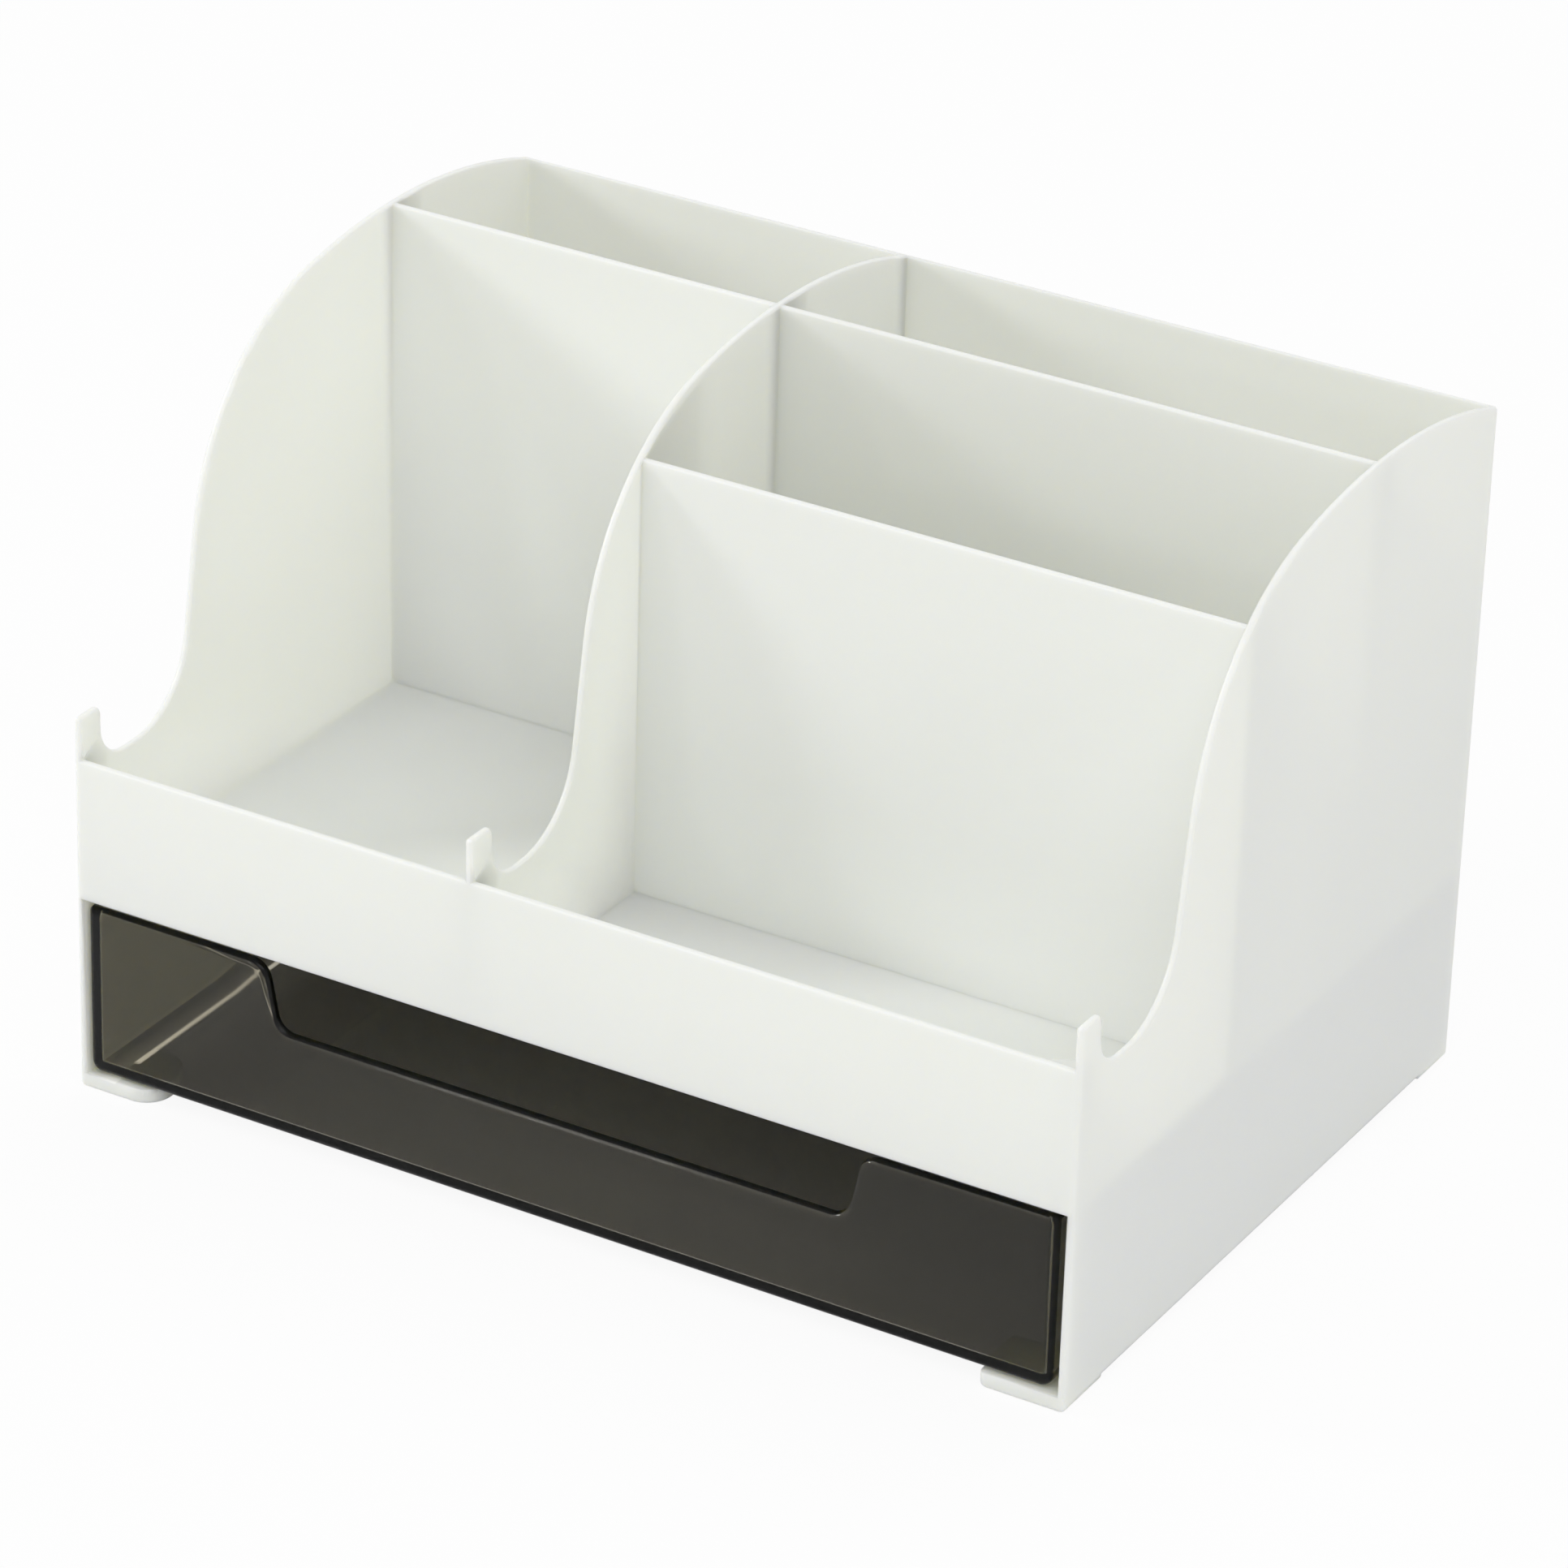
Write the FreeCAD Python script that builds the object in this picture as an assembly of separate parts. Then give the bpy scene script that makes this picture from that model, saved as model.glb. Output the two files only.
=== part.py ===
"""Desk organizer with five open compartments above one full-width drawer.

The body is one moulding: three scalloped walls running front to back, a back wall, two cross
dividers, a tray floor, a front lip, a pair of drawer ledges and four corner feet. The drawer is a
second moulding, a thin-walled tub with a finger notch in its front.

Frame, in millimetres: the origin is on the desk plane under the middle of the organizer,
+X runs to the right as seen from the front, +Y runs to the back and +Z runs up.
"""
import FreeCAD
import Part

import math
import os

from FreeCAD import Vector

# ---- driving dimensions of the body ------------------------------------------------------------
body_width = 220.0
body_depth = 160.0
crown_height = 150.0
back_height = 142.0
wall = 1.5
left_bay_width = 90.0
rear_divider_setback = 110.0
front_divider_setback = 60.0
divider_drop = 0.3
lip_height = 72.0
tray_height = 44.0
tray_thickness = 2.0
skirt_height = 1.5
edge_round = 0.5
rim_chamfer = 0.4
corner_round = 1.0
inner_corner_round = 0.5

# ---- scalloped outline of the three walls that run front to back -------------------------------
post_height = 81.0
post_depth = 7.3
post_front_round = 0.8
post_rear_round = 1.8
trough_height = 68.5
trough_front_radius = 8.0
trough_rear_radius = 18.0
trough_rear_setback = 19.0
rise_angle = 81.0
shoulder_radius = 50.0
crown_radius = 150.0

# ---- ledges and feet under the body ------------------------------------------------------------
ledge_height = 3.3
ledge_thickness = 1.5
ledge_width = 7.0
ledge_edge_round = 0.4
foot_width = 18.0
front_foot_depth = 14.5
rear_foot_depth = 13.0
left_foot_round = 6.0
right_foot_round = 1.5
foot_edge_round = 1.2

# ---- driving dimensions of the drawer, which rests against the left side of its opening --------
drawer_width = 214.6
drawer_left_gap = 0.3
drawer_slide_gap = 0.3
drawer_recess = 1.0
drawer_rear_gap = 2.5
drawer_top = 40.0
drawer_wall = 2.0
drawer_keel_round = 2.5
drawer_front_round = 0.8
drawer_rear_round = 5.0
drawer_inner_round = 0.6
drawer_rim_chamfer = 0.3
notch_height = 25.8
notch_half_width = 64.4
notch_slope = 78.0
notch_upper_round = 4.5
notch_lower_round = 4.0

# ---- how far two lengths may differ and still count as the same --------------------------------
tiny = 0.001

# ---- places worked out from the driving dimensions ---------------------------------------------
half_width = body_width / 2.0
front_y = -body_depth / 2.0
back_y = body_depth / 2.0
inner_half_width = half_width - wall
inner_back_y = back_y - wall
buried_half_width = half_width - wall / 2.0
buried_back_y = back_y - wall / 2.0
middle_x = -half_width + left_bay_width
tray_underside = tray_height - tray_thickness
drawer_bottom = ledge_height + drawer_slide_gap
drawer_left = -inner_half_width + drawer_left_gap
drawer_right = drawer_left + drawer_width
drawer_middle = (drawer_left + drawer_right) / 2.0
drawer_front = front_y + drawer_recess
drawer_back = back_y - wall - drawer_rear_gap


def point_yz(y, z):
    return Vector(0.0, y, z)


def point_xz(x, z):
    return Vector(x, 0.0, z)


def block(x0, x1, y0, y1, z0, z1):
    """A rectangular block between two opposite corners."""
    return Part.makeBox(x1 - x0, y1 - y0, z1 - z0, Vector(x0, y0, z0))


def polar(centre, radius, degrees, place):
    """The point at an angle on a circle in the plane that place() draws in."""
    angle = math.radians(degrees)
    return place(centre[0] + radius * math.cos(angle), centre[1] + radius * math.sin(angle))


def arc(centre, radius, start, end, place):
    """The arc of a circle from one angle to another, in degrees, as an edge."""
    middle = (start + end) / 2.0
    points = [polar(centre, radius, degrees, place) for degrees in (start, middle, end)]
    return Part.Arc(*points).toShape()


def chain(pieces):
    """A closed face whose outline joins the given edges in order with straight lines."""
    edges = []
    for index, piece in enumerate(pieces):
        edges.append(piece)
        start = piece.valueAt(piece.LastParameter)
        following = pieces[(index + 1) % len(pieces)]
        end = following.valueAt(following.FirstParameter)
        if start.distanceToPoint(end) > 1e-6:
            edges.append(Part.makeLine(start, end))
    return Part.Face(Part.Wire(edges))


def crown_centre():
    """Centre of the crown arc: it peaks at crown_height and meets the back at back_height."""
    z = crown_height - crown_radius
    y = back_y - math.sqrt(crown_radius ** 2 - (back_height - z) ** 2)
    return y, z


def shoulder_centre():
    """Centre of the shoulder arc, tangent to the straight rise and inside the crown arc."""
    rise = math.radians(rise_angle)
    along = (math.cos(rise), math.sin(rise))
    across = (math.sin(rise), -math.cos(rise))
    foot_y = front_y + trough_rear_setback + trough_rear_radius * math.sin(rise)
    foot_z = trough_height + trough_rear_radius * (1.0 - math.cos(rise))
    crown_y, crown_z = crown_centre()
    gap_y = foot_y + shoulder_radius * across[0] - crown_y
    gap_z = foot_z + shoulder_radius * across[1] - crown_z
    forward = gap_y * along[0] + gap_z * along[1]
    reach = crown_radius - shoulder_radius
    run = -forward + math.sqrt(forward ** 2 - gap_y ** 2 - gap_z ** 2 + reach ** 2)
    return crown_y + gap_y + run * along[0], crown_z + gap_z + run * along[1]


def outline_height(y):
    """Height of the scalloped outline at y, which lies under its shoulder arc or its crown arc."""
    crown_y, crown_z = crown_centre()
    shoulder_y, shoulder_z = shoulder_centre()
    blend_y = crown_y + (shoulder_y - crown_y) * crown_radius / (crown_radius - shoulder_radius)
    if y > blend_y:
        return crown_z + math.sqrt(crown_radius ** 2 - (y - crown_y) ** 2)
    return shoulder_z + math.sqrt(shoulder_radius ** 2 - (y - shoulder_y) ** 2)


def side_view():
    """Side view that all three walls share: post, trough, S-shaped rise and crown."""
    crown = crown_centre()
    shoulder = shoulder_centre()
    turn = math.degrees(math.atan2(shoulder[1] - crown[1], shoulder[0] - crown[0]))
    fall = math.degrees(math.asin((back_height - crown[1]) / crown_radius))
    post_back = front_y + post_depth
    front_top = (front_y + post_front_round, post_height - post_front_round)
    rear_top = (post_back - post_rear_round, post_height - post_rear_round)
    front_dip = (post_back + trough_front_radius, trough_height + trough_front_radius)
    rear_dip = (front_y + trough_rear_setback, trough_height + trough_rear_radius)
    base = Part.makeLine(point_yz(back_y, skirt_height), point_yz(front_y, skirt_height))
    return chain([
        arc(front_top, post_front_round, 180, 90, point_yz),
        arc(rear_top, post_rear_round, 90, 0, point_yz),
        arc(front_dip, trough_front_radius, 180, 270, point_yz),
        arc(rear_dip, trough_rear_radius, 270, 270 + rise_angle, point_yz),
        arc(shoulder, shoulder_radius, 90 + rise_angle, turn, point_yz),
        arc(crown, crown_radius, turn, fall, point_yz),
        base,
    ])


def side_view_prism(x0, x1):
    """The side view as a solid between two places across the organizer."""
    face = side_view()
    face.translate(Vector(x0, 0, 0))
    return face.extrude(Vector(x1 - x0, 0, 0))


def is_upright(edge):
    box = edge.BoundBox
    return box.XLength < tiny and box.YLength < tiny


def is_across(edge):
    """Whether an edge only crosses a wall's thickness, from one face of the wall to the other."""
    box = edge.BoundBox
    return box.YLength < tiny and box.ZLength < tiny and abs(box.XLength - wall) < tiny


def round_edges(shape, radius, wanted):
    """The shape with every edge rounded for which wanted(edge) holds."""
    return shape.makeFillet(radius, [edge for edge in shape.Edges if wanted(edge)])


def bevel_edges(shape, size, wanted):
    """The shape with every edge bevelled for which wanted(edge) holds."""
    return shape.makeChamfer(size, [edge for edge in shape.Edges if wanted(edge)])


def bevel_open_rim(shape, foot):
    """Bevels both rims of a wall cut to the side view, from its foot at the front to the back."""
    def is_rim(edge):
        box = edge.BoundBox
        at_foot = box.ZMax < foot + tiny
        back_corner = is_upright(edge) and box.YMin > 0
        return not (at_foot or back_corner or is_across(edge))

    return bevel_edges(shape, rim_chamfer, is_rim)


def outer_shell():
    """The side walls and the back wall, a U in plan that is cut to the scalloped side view."""
    def is_back_corner(edge):
        return is_upright(edge) and edge.BoundBox.YMin > 0

    above = crown_height + 1.0
    outer = block(-half_width, half_width, front_y, back_y, skirt_height, above)
    outer = round_edges(outer, corner_round, is_back_corner)
    inner = block(-inner_half_width, inner_half_width, front_y - 1.0, inner_back_y, 0, above + 1.0)
    inner = round_edges(inner, inner_corner_round, is_back_corner)
    shell = outer.cut(inner).common(side_view_prism(-half_width, half_width))
    return bevel_open_rim(shell, skirt_height)


def middle_wall():
    """The wall between the bays: the same side view, standing on the tray's underside."""
    slab = side_view_prism(middle_x - wall / 2.0, middle_x + wall / 2.0)
    slab = slab.common(block(-half_width, half_width, front_y, back_y, tray_underside,
                             crown_height + 1.0))
    slab = bevel_open_rim(slab, tray_underside)
    return slab.common(block(-half_width, half_width, front_y, buried_back_y, 0,
                             crown_height + 1.0))


def is_top_rim(edge, top):
    """Whether an edge runs across the organizer at the height top."""
    box = edge.BoundBox
    return box.ZMin > top - tiny and box.XLength > 2.0 * wall


def divider(x0, x1, setback):
    """A cross divider whose rear face lies the setback behind the front, with a rounded top."""
    rear = front_y + setback
    top = outline_height(rear - wall) - divider_drop
    slab = block(x0, x1, rear - wall, rear, tray_underside, top)
    return round_edges(slab, edge_round, lambda edge: is_top_rim(edge, top))


def tray_and_lip():
    """The tray floor with the upright lip along its front edge."""
    floor = block(-buried_half_width, buried_half_width, front_y, buried_back_y,
                  tray_underside, tray_height)
    lip = block(-buried_half_width, buried_half_width, front_y, front_y + wall,
                tray_underside, lip_height)
    lip = round_edges(lip, edge_round, lambda edge: is_top_rim(edge, lip_height))
    return floor.fuse(lip)


def ledge(side):
    """The shelf along the foot of a side wall that one side of the drawer slides on."""
    inner = side * (inner_half_width - ledge_width)
    outer = side * buried_half_width
    slab = block(min(inner, outer), max(inner, outer), front_y, buried_back_y,
                 ledge_height - ledge_thickness, ledge_height)
    return round_edges(slab, ledge_edge_round, lambda edge: edge.BoundBox.YLength > wall
                       and abs(edge.BoundBox.XMin - inner) < tiny)


def foot(side, end, depth):
    """A corner foot, flush with the walls outside and rounded in plan towards the inside."""
    outer_x = side * half_width
    inner_x = side * (half_width - foot_width)
    outer_y = end * back_y
    inner_y = end * (back_y - depth)
    slab = block(min(outer_x, inner_x), max(outer_x, inner_x), min(outer_y, inner_y),
                 max(outer_y, inner_y), 0, ledge_height)

    def stands_at(edge, x, y):
        box = edge.BoundBox
        return is_upright(edge) and abs(box.XMin - x) < tiny and abs(box.YMin - y) < tiny

    outer_round = corner_round if end > 0 else edge_round
    inner_round = left_foot_round if side < 0 else right_foot_round
    slab = round_edges(slab, outer_round, lambda edge: stands_at(edge, outer_x, outer_y))
    slab = round_edges(slab, inner_round, lambda edge: stands_at(edge, inner_x, outer_y)
                       or stands_at(edge, inner_x, inner_y))
    return round_edges(slab, foot_edge_round, lambda edge: edge.BoundBox.ZMax < tiny)


def build_body():
    """The whole white moulding as one solid."""
    pieces = [
        middle_wall(),
        divider(-buried_half_width, buried_half_width, rear_divider_setback),
        divider(middle_x, buried_half_width, front_divider_setback),
        tray_and_lip(),
    ]
    for side in (-1, 1):
        pieces.append(ledge(side))
        pieces.append(foot(side, -1, front_foot_depth))
        pieces.append(foot(side, 1, rear_foot_depth))
    return outer_shell().fuse(pieces).removeSplitter()


def notch_prism():
    """The finger notch as a prism through the drawer's front, wider at its mouth."""
    slope = math.radians(notch_slope)
    turn = math.tan(slope / 2.0)
    spread = (drawer_top - notch_height) / 2.0 / math.tan(slope)
    lower_x = notch_half_width - spread - notch_lower_round * turn
    lower_z = notch_height + notch_lower_round
    upper_x = notch_half_width + spread + notch_upper_round * turn
    upper_z = drawer_top - notch_upper_round
    air = drawer_top + 1.0
    face = chain([
        arc((lower_x, lower_z), notch_lower_round, 270, 270 + notch_slope, point_xz),
        arc((upper_x, upper_z), notch_upper_round, 90 + notch_slope, 90, point_xz),
        Part.makeLine(point_xz(upper_x, air), point_xz(-upper_x, air)),
        arc((-upper_x, upper_z), notch_upper_round, 90, 90 - notch_slope, point_xz),
        arc((-lower_x, lower_z), notch_lower_round, 270 - notch_slope, 270, point_xz),
    ])
    face.translate(Vector(drawer_middle, drawer_front - 1.0, 0))
    return face.extrude(Vector(0, drawer_wall + 2.0, 0))


def build_drawer():
    """The smoked tub: one wall thickness all round, a rounded keel and a finger notch."""
    def is_rear_corner(edge):
        return is_upright(edge) and edge.BoundBox.YMin > 0

    def is_keel(edge):
        box = edge.BoundBox
        return box.ZMax < drawer_bottom + tiny and box.YMax > drawer_front + tiny

    def is_inner_edge(edge):
        low = edge.BoundBox.ZMax < floor_top + tiny
        return low or is_upright(edge) and edge.BoundBox.YMin < 0

    def is_front_outline(edge):
        return edge.BoundBox.YMax < drawer_front + tiny

    def is_rim(edge):
        box = edge.BoundBox
        behind = box.YMin > drawer_front + drawer_front_round + tiny
        level = box.ZMin > drawer_top - tiny
        notch_back = box.YMax < drawer_front + drawer_wall + tiny and box.ZMin > floor_top + 1.0
        return level and box.YMax > drawer_front + drawer_wall - tiny or behind and notch_back

    floor_top = drawer_bottom + drawer_wall
    outer = block(drawer_left, drawer_right, drawer_front, drawer_back, drawer_bottom, drawer_top)
    outer = round_edges(outer, drawer_rear_round, is_rear_corner)
    outer = round_edges(outer, drawer_keel_round, is_keel)
    inner = block(drawer_left + drawer_wall, drawer_right - drawer_wall,
                  drawer_front + drawer_wall, drawer_back - drawer_wall,
                  floor_top, drawer_top + 1.0)
    inner = round_edges(inner, drawer_rear_round - drawer_wall, is_rear_corner)
    inner = round_edges(inner, drawer_inner_round, is_inner_edge)
    tub = outer.cut(inner).cut(notch_prism())
    tub = round_edges(tub, drawer_front_round, is_front_outline)
    return bevel_edges(tub, drawer_rim_chamfer, is_rim)


if __name__ == "__main__":
    os.makedirs("parts", exist_ok=True)
    nodes = {
        "organizer_body": build_body(),
        "drawer": build_drawer(),
    }
    for name, solid in nodes.items():
        print(name, solid.isValid(), len(solid.Solids), len(solid.Faces), round(solid.Volume))
        solid.exportStep("parts/" + name + ".step")
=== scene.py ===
import bmesh
import bpy
import math
import numpy as np

from mathutils import Matrix, Vector


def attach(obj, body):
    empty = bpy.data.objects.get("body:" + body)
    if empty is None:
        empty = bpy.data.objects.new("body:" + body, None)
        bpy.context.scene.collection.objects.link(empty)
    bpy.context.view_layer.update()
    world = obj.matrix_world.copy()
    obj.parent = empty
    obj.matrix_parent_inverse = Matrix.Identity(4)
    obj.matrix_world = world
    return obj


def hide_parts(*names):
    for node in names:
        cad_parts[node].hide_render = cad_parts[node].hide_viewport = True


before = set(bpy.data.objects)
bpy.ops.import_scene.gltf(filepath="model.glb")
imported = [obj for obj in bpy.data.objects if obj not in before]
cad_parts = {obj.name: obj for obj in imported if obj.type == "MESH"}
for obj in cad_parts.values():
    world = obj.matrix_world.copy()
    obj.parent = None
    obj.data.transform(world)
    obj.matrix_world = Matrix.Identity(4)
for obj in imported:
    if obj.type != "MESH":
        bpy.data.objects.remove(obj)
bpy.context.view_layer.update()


# ---- The body ----------------------------------------------------------------------------------
# One white moulding: three scalloped walls, back wall, dividers, tray, lip, ledges and feet.
# It comes out of its mould in one piece, satin inside and out, with every rim rounded over.
# Light enters the plastic a little way, so its thin walls and rims look soft.

half_width = 0.110
front = -0.080
corner_radius = 0.0012
weld_distance = 1e-6
cut_distance = 1e-7
crease = math.radians(50)

shaded_white = (0.858, 0.873, 0.822, 1.0)
clear_white = (0.884, 0.899, 0.850, 1.0)
light_depth = 0.0026
depth_of_colours = (1.0, 0.95, 0.8)

# A painted highlight: the left ledge's inner edge glows with emitted light in a fine streak,
# strongest at the front, with a weak painted glow beside it on the ledge. Each runs between four
# places across and four up.
highlight_across = (-0.1020, -0.1016, -0.1008, -0.1004)
highlight_height = (0.0023, 0.0028, 0.0034, 0.0036)
highlight_front = (-0.0725, -0.0715)
side_highlight_across = (-0.1060, -0.1020, -0.1016, -0.1012)
side_highlight_height = (0.0029, 0.0032, 0.0034, 0.0036)
side_highlight_share = 0.12
fade_start = 0.02
faded = 0.25
painted_highlight_colour = (1.0, 0.96, 0.84)


class Socket:
    """A value in a material's node tree, on which + and * add Math nodes."""

    def __init__(self, tree, link=None):
        self.tree = tree
        self.link = link

    def node(self, kind, settings=None, inputs=None, output=0):
        """Adds a node: its settings first, then the values or links of its sockets."""
        made = self.tree.nodes.new(kind)
        for name, value in (settings or {}).items():
            setattr(made, name, value)
        for name, value in (inputs or {}).items():
            if isinstance(value, Socket):
                self.tree.links.new(value.link, made.inputs[name])
            else:
                made.inputs[name].default_value = value
        return Socket(self.tree, made.outputs[output])

    def maths(self, operation, first, second):
        return self.node("ShaderNodeMath", {"operation": operation}, {0: first, 1: second})

    def __add__(self, other):
        return self.maths("ADD", self, other)

    def __radd__(self, other):
        return self.maths("ADD", other, self)

    def __mul__(self, other):
        return self.maths("MULTIPLY", self, other)

    def __rmul__(self, other):
        return self.maths("MULTIPLY", other, self)

    def ramp(self, low, high):
        """0 at low and 1 at high, straight between them and level outside."""
        return self.node("ShaderNodeMapRange", {}, {0: self, 1: low, 2: high})

    def band(self, start, full, last, end):
        """1 from full to last, and down to 0 at start and at end."""
        return self.ramp(start, full) * self.ramp(end, last)


def new_material(name):
    """An empty material: its tree's output node and a Socket of its Object coordinates."""
    material = bpy.data.materials.new(name)
    material.use_nodes = True
    tree = material.node_tree
    tree.nodes.clear()
    output = tree.nodes.new("ShaderNodeOutputMaterial")
    place = Socket(tree).node("ShaderNodeTexCoord", output="Object")
    return material, output, place


def merged_copy(node, name, shape, cut=None):
    """A copy of a CAD node's mesh, its loose triangles merged and its faces facing outwards.

    cut(grown) adds the edges that the new shape needs, and shape(points, edges) gives the
    points their new places, from whole arrays. The copy is smooth except at its creases.
    """
    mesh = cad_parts[node].data.copy()
    mesh.name = name
    mesh.materials.clear()
    grown = bmesh.new()
    grown.from_mesh(mesh)
    bmesh.ops.remove_doubles(grown, verts=grown.verts, dist=weld_distance)
    if cut:
        cut(grown)
    bmesh.ops.recalc_face_normals(grown, faces=grown.faces)
    grown.to_mesh(mesh)
    grown.free()
    points = np.empty(3 * len(mesh.vertices), np.float32)
    edges = np.empty(2 * len(mesh.edges), np.int32)
    mesh.vertices.foreach_get("co", points)
    mesh.edges.foreach_get("vertices", edges)
    points = shape(points.reshape(-1, 3).astype(float), edges.reshape(-1, 2))
    mesh.vertices.foreach_set("co", points.astype(np.float32).ravel())
    mesh.polygons.foreach_set("use_smooth", np.ones(len(mesh.polygons), bool))
    mesh.update()
    mesh.set_sharp_from_angle(angle=crease)
    piece = bpy.data.objects.new(name, mesh)
    bpy.context.scene.collection.objects.link(piece)
    finish = piece.modifiers.new("even normals", "WEIGHTED_NORMAL")
    finish.keep_sharp = True
    finish.weight = 50
    return piece


def cut_front_corners(grown):
    """Cuts upright lines where the front corners' rounding begins, and a quarter of it on."""
    centre_x, centre_y = half_width - corner_radius, front + corner_radius
    near = [face for face in grown.faces if min(v.co.y for v in face.verts) < centre_y]
    for step in (0.0, math.tan(math.pi / 8) * corner_radius):
        for place, across in (((centre_x + step, 0, 0), (1, 0, 0)),
                              ((-centre_x - step, 0, 0), (1, 0, 0)),
                              ((0, centre_y - step, 0), (0, 1, 0))):
            corners = {vertex for face in near for vertex in face.verts}
            sides = {edge for face in near for edge in face.edges}
            cut = bmesh.ops.bisect_plane(grown, geom=[*corners, *sides, *near],
                                         dist=cut_distance, plane_co=place, plane_no=across)
            near = [item for item in cut["geom"] if isinstance(item, bmesh.types.BMFace)]


def round_front_corners(points, edges):
    """Rounds the two upright front corners, and narrows with them the rounded foot below.

    In plan a corner's point p, taken from the centre c of its rounding, goes to
    c + (p - c) * min(1, R(z) / |p - c|), where R(z) = sqrt(r^2 - (r - z)^2) in the foot's
    rounded lowest r, and r above it.
    """
    r = corner_radius
    x, y, z = points.T
    centre_x, centre_y = half_width - r, front + r
    out = np.array([np.abs(x) - centre_x, centre_y - y])
    corner = out.min(axis=0) > 0
    out = out[:, corner]
    reach = np.sqrt(np.maximum(r ** 2 - (r - np.minimum(z[corner], r)) ** 2, 0.0))
    out = out * np.minimum(1.0, reach / np.hypot(*out))
    points[corner, 0] = np.copysign(centre_x + out[0], x[corner])
    points[corner, 1] = centre_y - out[1]
    return points


body = merged_copy("organizer_body", "body_shell", round_front_corners, cut_front_corners)

white, output, place = new_material("white_satin_plastic")
grain = place.node("ShaderNodeTexNoise", {}, {"Vector": place, "Scale": 900.0, "Detail": 2.0})
cloud = place.node("ShaderNodeTexNoise", {}, {"Vector": place, "Scale": 14.0, "Detail": 3.0})
bump = place.node("ShaderNodeBump", {}, {"Strength": 0.05, "Distance": 0.0002, "Height": grain})
tint = place.node("ShaderNodeMix", {"data_type": "RGBA"},
                  {0: cloud, 6: shaded_white, 7: clear_white}, 2)

# Painted highlight: emitted light on the left ledge, a fine streak on its inner edge and a weak
# one beside it, fading towards the back.
x, y, z = (place.node("ShaderNodeSeparateXYZ", {}, {0: place}, axis) for axis in range(3))
painted_highlight = x.band(*highlight_across) * z.band(*highlight_height) * y.ramp(*highlight_front)
painted_side_highlight = x.band(*side_highlight_across) * z.band(*side_highlight_height)
fade = faded + (1 - faded) * y.ramp(fade_start, highlight_front[1])
painted_glow = place.node("ShaderNodeVectorMath", {"operation": "SCALE"},
                  {0: painted_highlight_colour, "Scale": (painted_highlight + side_highlight_share * painted_side_highlight) * fade})

plastic = place.node("ShaderNodeBsdfPrincipled", {}, {
    "Base Color": tint,
    "Roughness": 0.34 + 0.08 * cloud,
    "IOR": 1.49,
    "Subsurface Weight": 1.0,
    "Subsurface Radius": depth_of_colours,
    "Subsurface Scale": light_depth,
    # The emission paints the highlight on the left ledge; no lamp lights it there.
    "Emission Color": painted_glow,
    "Emission Strength": 1.1,
    "Normal": bump,
})
white.node_tree.links.new(plastic.link, output.inputs["Surface"])
body.data.materials.append(white)
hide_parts("organizer_body")
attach(body, "body")


# ---- The drawer --------------------------------------------------------------------------------
# One clear smoked moulding with 2 mm walls and a finger notch in its front, its edges rounded.
# It lies loose on the body's two ledges and slides out along them. Its colour comes from the
# depth of the plastic, so an edge, seen along a wall, is nearly black.

face_y = -0.079
edge_depth = 0.0008
widening = 2.0
top_corner = 0.0013
touch = 1e-6

no_tint = (1.0, 1.0, 1.0, 1.0)
half_gloss = (0.5, 0.5, 0.5, 1.0)
smoke_colour = (0.49, 0.4625, 0.3825, 1.0)
smoke_density = 400.0


def widen_front_rounding(points, edges):
    """Doubles the rounding around the drawer's front, from 0.8 mm to 1.6 mm.

    A point of the rounding lies s inside the front's outline and d behind its face; it goes to
    2 s along the same line from the nearest point of the outline, and to 2 d behind the face.
    Close to a top corner that nearest point is the corner itself.
    """
    outline = points[:, [0, 2]]
    behind = points[:, 1] - face_y
    rim = edges[(np.abs(behind - edge_depth) < touch)[edges].all(axis=1)]
    start, along = outline[rim[:, 0]], outline[rim[:, 1]] - outline[rim[:, 0]]
    rounding = behind < edge_depth + touch
    place = outline[rounding]
    part = ((place[:, None] - start) * along).sum(axis=2) / (along ** 2).sum(axis=1)
    feet = start + np.clip(part, 0, 1)[:, :, None] * along
    nearest = ((feet - place[:, None]) ** 2).sum(axis=2).argmin(axis=1)
    foot = feet[np.arange(len(place)), nearest]
    high = outline[:, 1].max()
    for end in (outline[:, 0].min(), outline[:, 0].max()):
        close = (np.abs(place[:, 0] - end) < top_corner) & (high - place[:, 1] < top_corner)
        foot[close] = end, high
    points[rounding, 0], points[rounding, 2] = (foot + widening * (place - foot)).T
    points[rounding, 1] = face_y + widening * behind[rounding]
    return points


drawer = merged_copy("drawer", "drawer_tub", widen_front_rounding)

smoke, output, place = new_material("smoked_clear_plastic")
flow = place.node("ShaderNodeTexNoise", {}, {"Vector": place, "Scale": 45.0, "Detail": 1.0})
haze = place.node("ShaderNodeTexNoise", {}, {"Vector": place, "Scale": 260.0, "Detail": 4.0})
bump = place.node("ShaderNodeBump", {}, {"Strength": 0.04, "Distance": 0.0002, "Height": flow})
surface = place.node("ShaderNodeBsdfPrincipled", {}, {
    "Base Color": no_tint,
    "Roughness": 0.02 + 0.05 * haze,
    "IOR": 1.5,
    "Transmission Weight": 1.0,
    "Specular Tint": half_gloss,
    "Normal": bump,
})
inside = place.node("ShaderNodeVolumeAbsorption", {},
                    {"Color": smoke_colour, "Density": smoke_density})
smoke.node_tree.links.new(surface.link, output.inputs["Surface"])
smoke.node_tree.links.new(inside.link, output.inputs["Volume"])
drawer.data.materials.append(smoke)
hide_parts("drawer")
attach(drawer, "drawer")


# ---- Floor, light and camera -------------------------------------------------------------------
# The desk top is a plain pale sheet that runs on far past the organizer, in a room as pale.
# Five soft lamps stand round it: a hard one low on the left, a broad one in front, a broad one
# behind, a weak one on the right, and a small one that glints on the drawer's rounded edges.

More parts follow.
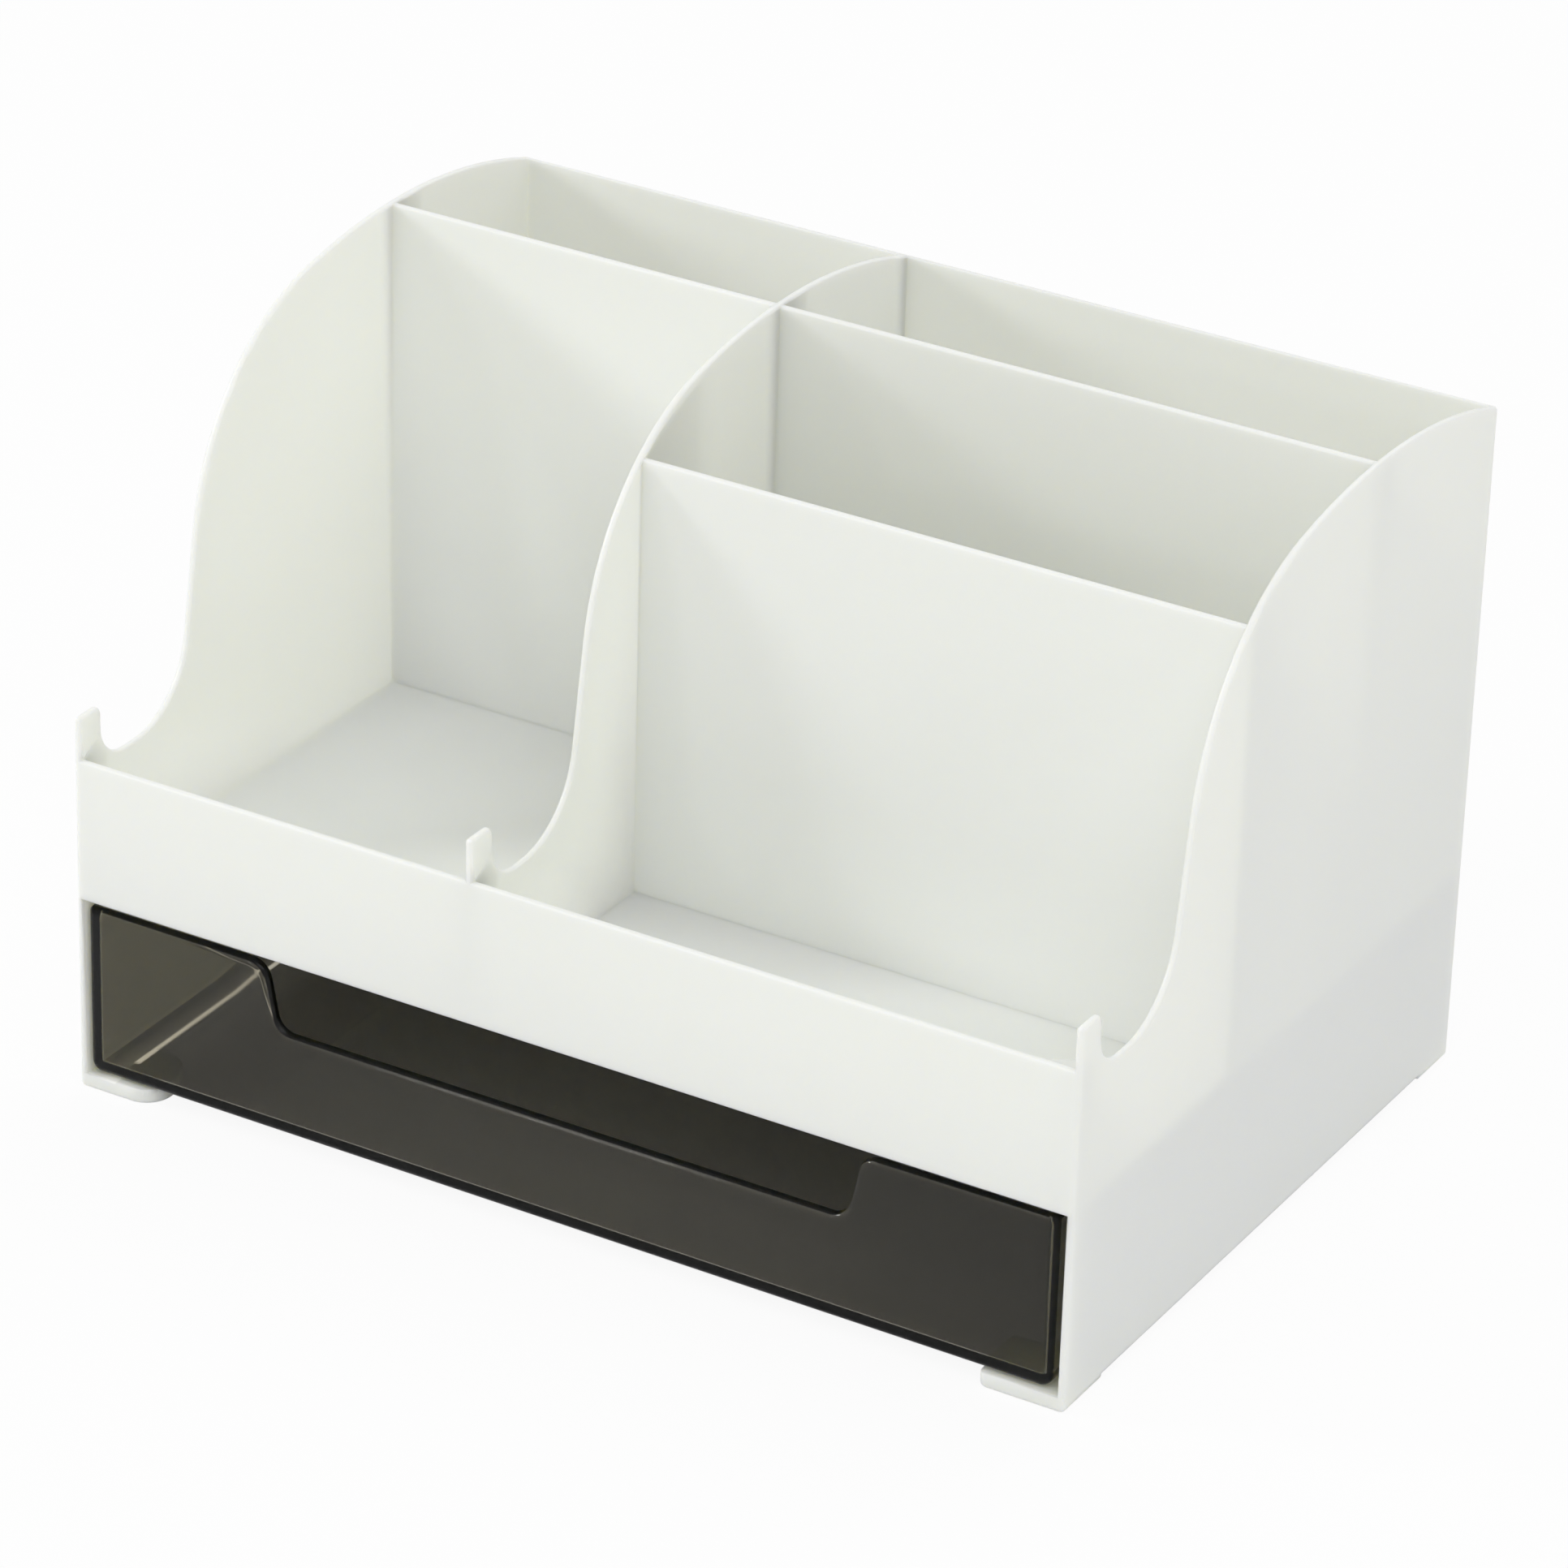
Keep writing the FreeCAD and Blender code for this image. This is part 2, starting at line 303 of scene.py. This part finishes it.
reach = 6.0
sheet_grey = (0.86, 0.86, 0.86, 1.0)
white_light = (1.0, 1.0, 1.0, 1.0)
white_share = 0.92
faint_share = 0.01
room_light = 0.635
sky_light = 1.0
lit_point = (0, 0, 0.07)

floor_mesh = bpy.data.meshes.new("floor")
floor_mesh.from_pydata([(-reach, -reach, 0), (reach, -reach, 0), (reach, reach, 0),
                        (-reach, reach, 0)], [], [(0, 1, 2, 3)])
floor = bpy.data.objects.new("floor", floor_mesh)
bpy.context.scene.collection.objects.link(floor)
pale, output, place = new_material("pale_floor")
sheet = place.node("ShaderNodeBsdfDiffuse", {}, {"Color": sheet_grey})
shine = place.node("ShaderNodeEmission", {}, {"Color": white_light, "Strength": 1.0})

# The sheet is white to the eye and keeps the organizer's shadow. Gloss and the clear plastic show
# it nearly as it is lit, since below the drawer it lies in the shadow.
seen = place.node("ShaderNodeLightPath", output="Is Camera Ray")
mirrored = place.node("ShaderNodeLightPath", output="Is Glossy Ray")
through = place.node("ShaderNodeLightPath", output="Is Transmission Ray")
share = seen * white_share + mirrored * faint_share + through * faint_share
mix = place.node("ShaderNodeMixShader", {}, {0: share, 1: sheet, 2: shine})
pale.node_tree.links.new(mix.link, output.inputs["Surface"])
floor_mesh.materials.append(pale)


def softbox(name, size, place, power, colour):
    """A square area lamp at a place, turned towards the organizer."""
    lamp = bpy.data.lights.new(name, "AREA")
    lamp.shape = "SQUARE"
    lamp.size = size
    lamp.energy = power
    lamp.color = colour
    holder = bpy.data.objects.new(name, lamp)
    bpy.context.scene.collection.objects.link(holder)
    holder.location = place
    turned = (Vector(lit_point) - Vector(place)).to_track_quat("-Z", "Y")
    holder.rotation_euler = turned.to_euler()


softbox("left_softbox", 0.38, (-1.50, -0.67, 0.80), 7.3, (1.0, 1.0, 1.0))
softbox("front_softbox", 1.2, (0.74, -0.89, 1.45), 6.8, (0.98, 0.99, 1.0))
softbox("rear_softbox", 1.2, (0.00, 1.27, 1.34), 4.4, (1.0, 1.0, 1.0))
softbox("right_softbox", 0.6, (1.60, -0.14, 0.89), 1.45, (1.0, 1.0, 1.0))
softbox("near_softbox", 0.15, (-0.80, -1.51, 0.63), 1.0, (1.0, 1.0, 1.0))

world = bpy.data.worlds.new("studio")
bpy.context.scene.world = world
world.use_nodes = True
tree = world.node_tree
tree.nodes.clear()
seen = Socket(tree).node("ShaderNodeLightPath", output="Is Camera Ray")
room = seen.node("ShaderNodeBackground", {}, {"Color": white_light, "Strength": room_light})
sky = seen.node("ShaderNodeBackground", {}, {"Color": white_light, "Strength": sky_light})
mix = seen.node("ShaderNodeMixShader", {}, {0: seen, 1: room, 2: sky})
output = tree.nodes.new("ShaderNodeOutputWorld")
tree.links.new(mix.link, output.inputs["Surface"])

azimuth = math.radians(29.827)
elevation = math.radians(27.426)
roll = math.radians(1.783)
distance = 1.2952
aim_point = Vector((0.04710, -0.080, 0.11206))
forward = Vector((-math.sin(azimuth) * math.cos(elevation),
                  math.cos(azimuth) * math.cos(elevation), -math.sin(elevation)))
level = Vector((math.cos(azimuth), math.sin(azimuth), 0))
upward = level.cross(forward)
side = level * math.cos(roll) + upward * math.sin(roll)
top = upward * math.cos(roll) - level * math.sin(roll)
camera_data = bpy.data.cameras.new("camera")
camera_data.sensor_width = 36.0
camera_data.lens = 165.66
camera = bpy.data.objects.new("camera", camera_data)
bpy.context.scene.collection.objects.link(camera)
turned = Matrix((side, top, -forward)).transposed().to_4x4()
camera.matrix_world = Matrix.Translation(aim_point - forward * distance) @ turned
bpy.context.scene.camera = camera
bpy.context.scene.view_settings.view_transform = "Standard"
